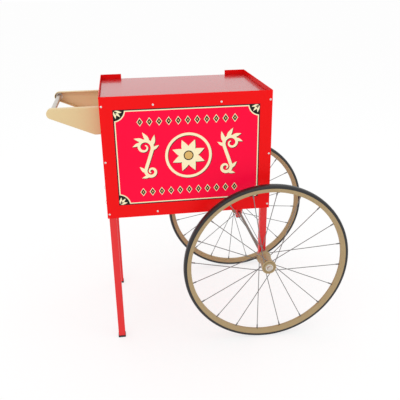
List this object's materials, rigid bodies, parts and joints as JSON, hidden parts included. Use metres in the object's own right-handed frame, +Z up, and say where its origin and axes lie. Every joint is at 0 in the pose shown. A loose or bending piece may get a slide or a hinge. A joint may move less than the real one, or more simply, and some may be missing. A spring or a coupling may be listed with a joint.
{
  "type": "popcorn cart",
  "caption": "Wheeled popcorn machine cart: red sheet-steel cabinet with a recessed deck and open back, square-tube legs, large spoked wheels and a push handle.",
  "frame": {"origin": "on the floor, below the middle of the bounding box", "axes": "+X along the cart from the handle to the wheels, +Y from the printed front to the open back, +Z up"},
  "size_m": [0.9118, 0.583, 0.81],
  "materials": {
    "red_paint": "gloss powder coat",
    "print": "printed film",
    "screw_steel": "bright plated",
    "axle_steel": "plain bright steel",
    "spoke_steel": "bright plated",
    "tan_paint": "satin powder coat",
    "tyre_rubber": "smooth solid rubber",
    "black_plastic": "moulded",
    "bush_plastic": "moulded"
  },
  "bodies": {
    "cart": {"front_panel": "red_paint", "left_side_panel": "red_paint", "right_side_panel": "red_paint", "deck_pan": "red_paint", "floor_pan": "red_paint", "deck_stiffener": "red_paint", "front_print": "print", "leg_brackets": "red_paint", "axle": "axle_steel", "axle_washers": "screw_steel", "handle_bar": "axle_steel", "long_leg_front": "red_paint", "long_leg_rear": "red_paint", "short_leg_front": "red_paint", "short_leg_rear": "red_paint", "foot_front": "black_plastic", "foot_rear": "black_plastic", "leg_plug_front": "black_plastic", "leg_plug_rear": "black_plastic", "axle_spacer_front": "axle_steel", "axle_spacer_rear": "axle_steel", "axle_cap_front": "screw_steel", "axle_cap_rear": "screw_steel", "handle_arm_front": "tan_paint", "handle_arm_rear": "tan_paint"},
    "wheel_front": {"tyre_front": "tyre_rubber", "rim_front": "tan_paint", "spokes_front": "spoke_steel", "hub_front": "tan_paint", "hub_bushes_front": "bush_plastic"},
    "wheel_rear": {"tyre_rear": "tyre_rubber", "rim_rear": "tan_paint", "spokes_rear": "spoke_steel", "hub_rear": "tan_paint", "hub_bushes_rear": "bush_plastic"}
  },
  "joints": [
    {"name": "wheel_front_spin", "type": "hinge", "parent": "cart", "child": "wheel_front", "pos_m": [0.1879, -0.2505, 0.268], "axis": [0, 1, 0], "continuous": true},
    {"name": "wheel_rear_spin", "type": "hinge", "parent": "cart", "child": "wheel_rear", "pos_m": [0.1879, 0.2505, 0.268], "axis": [0, 1, 0], "continuous": true}
  ]
}
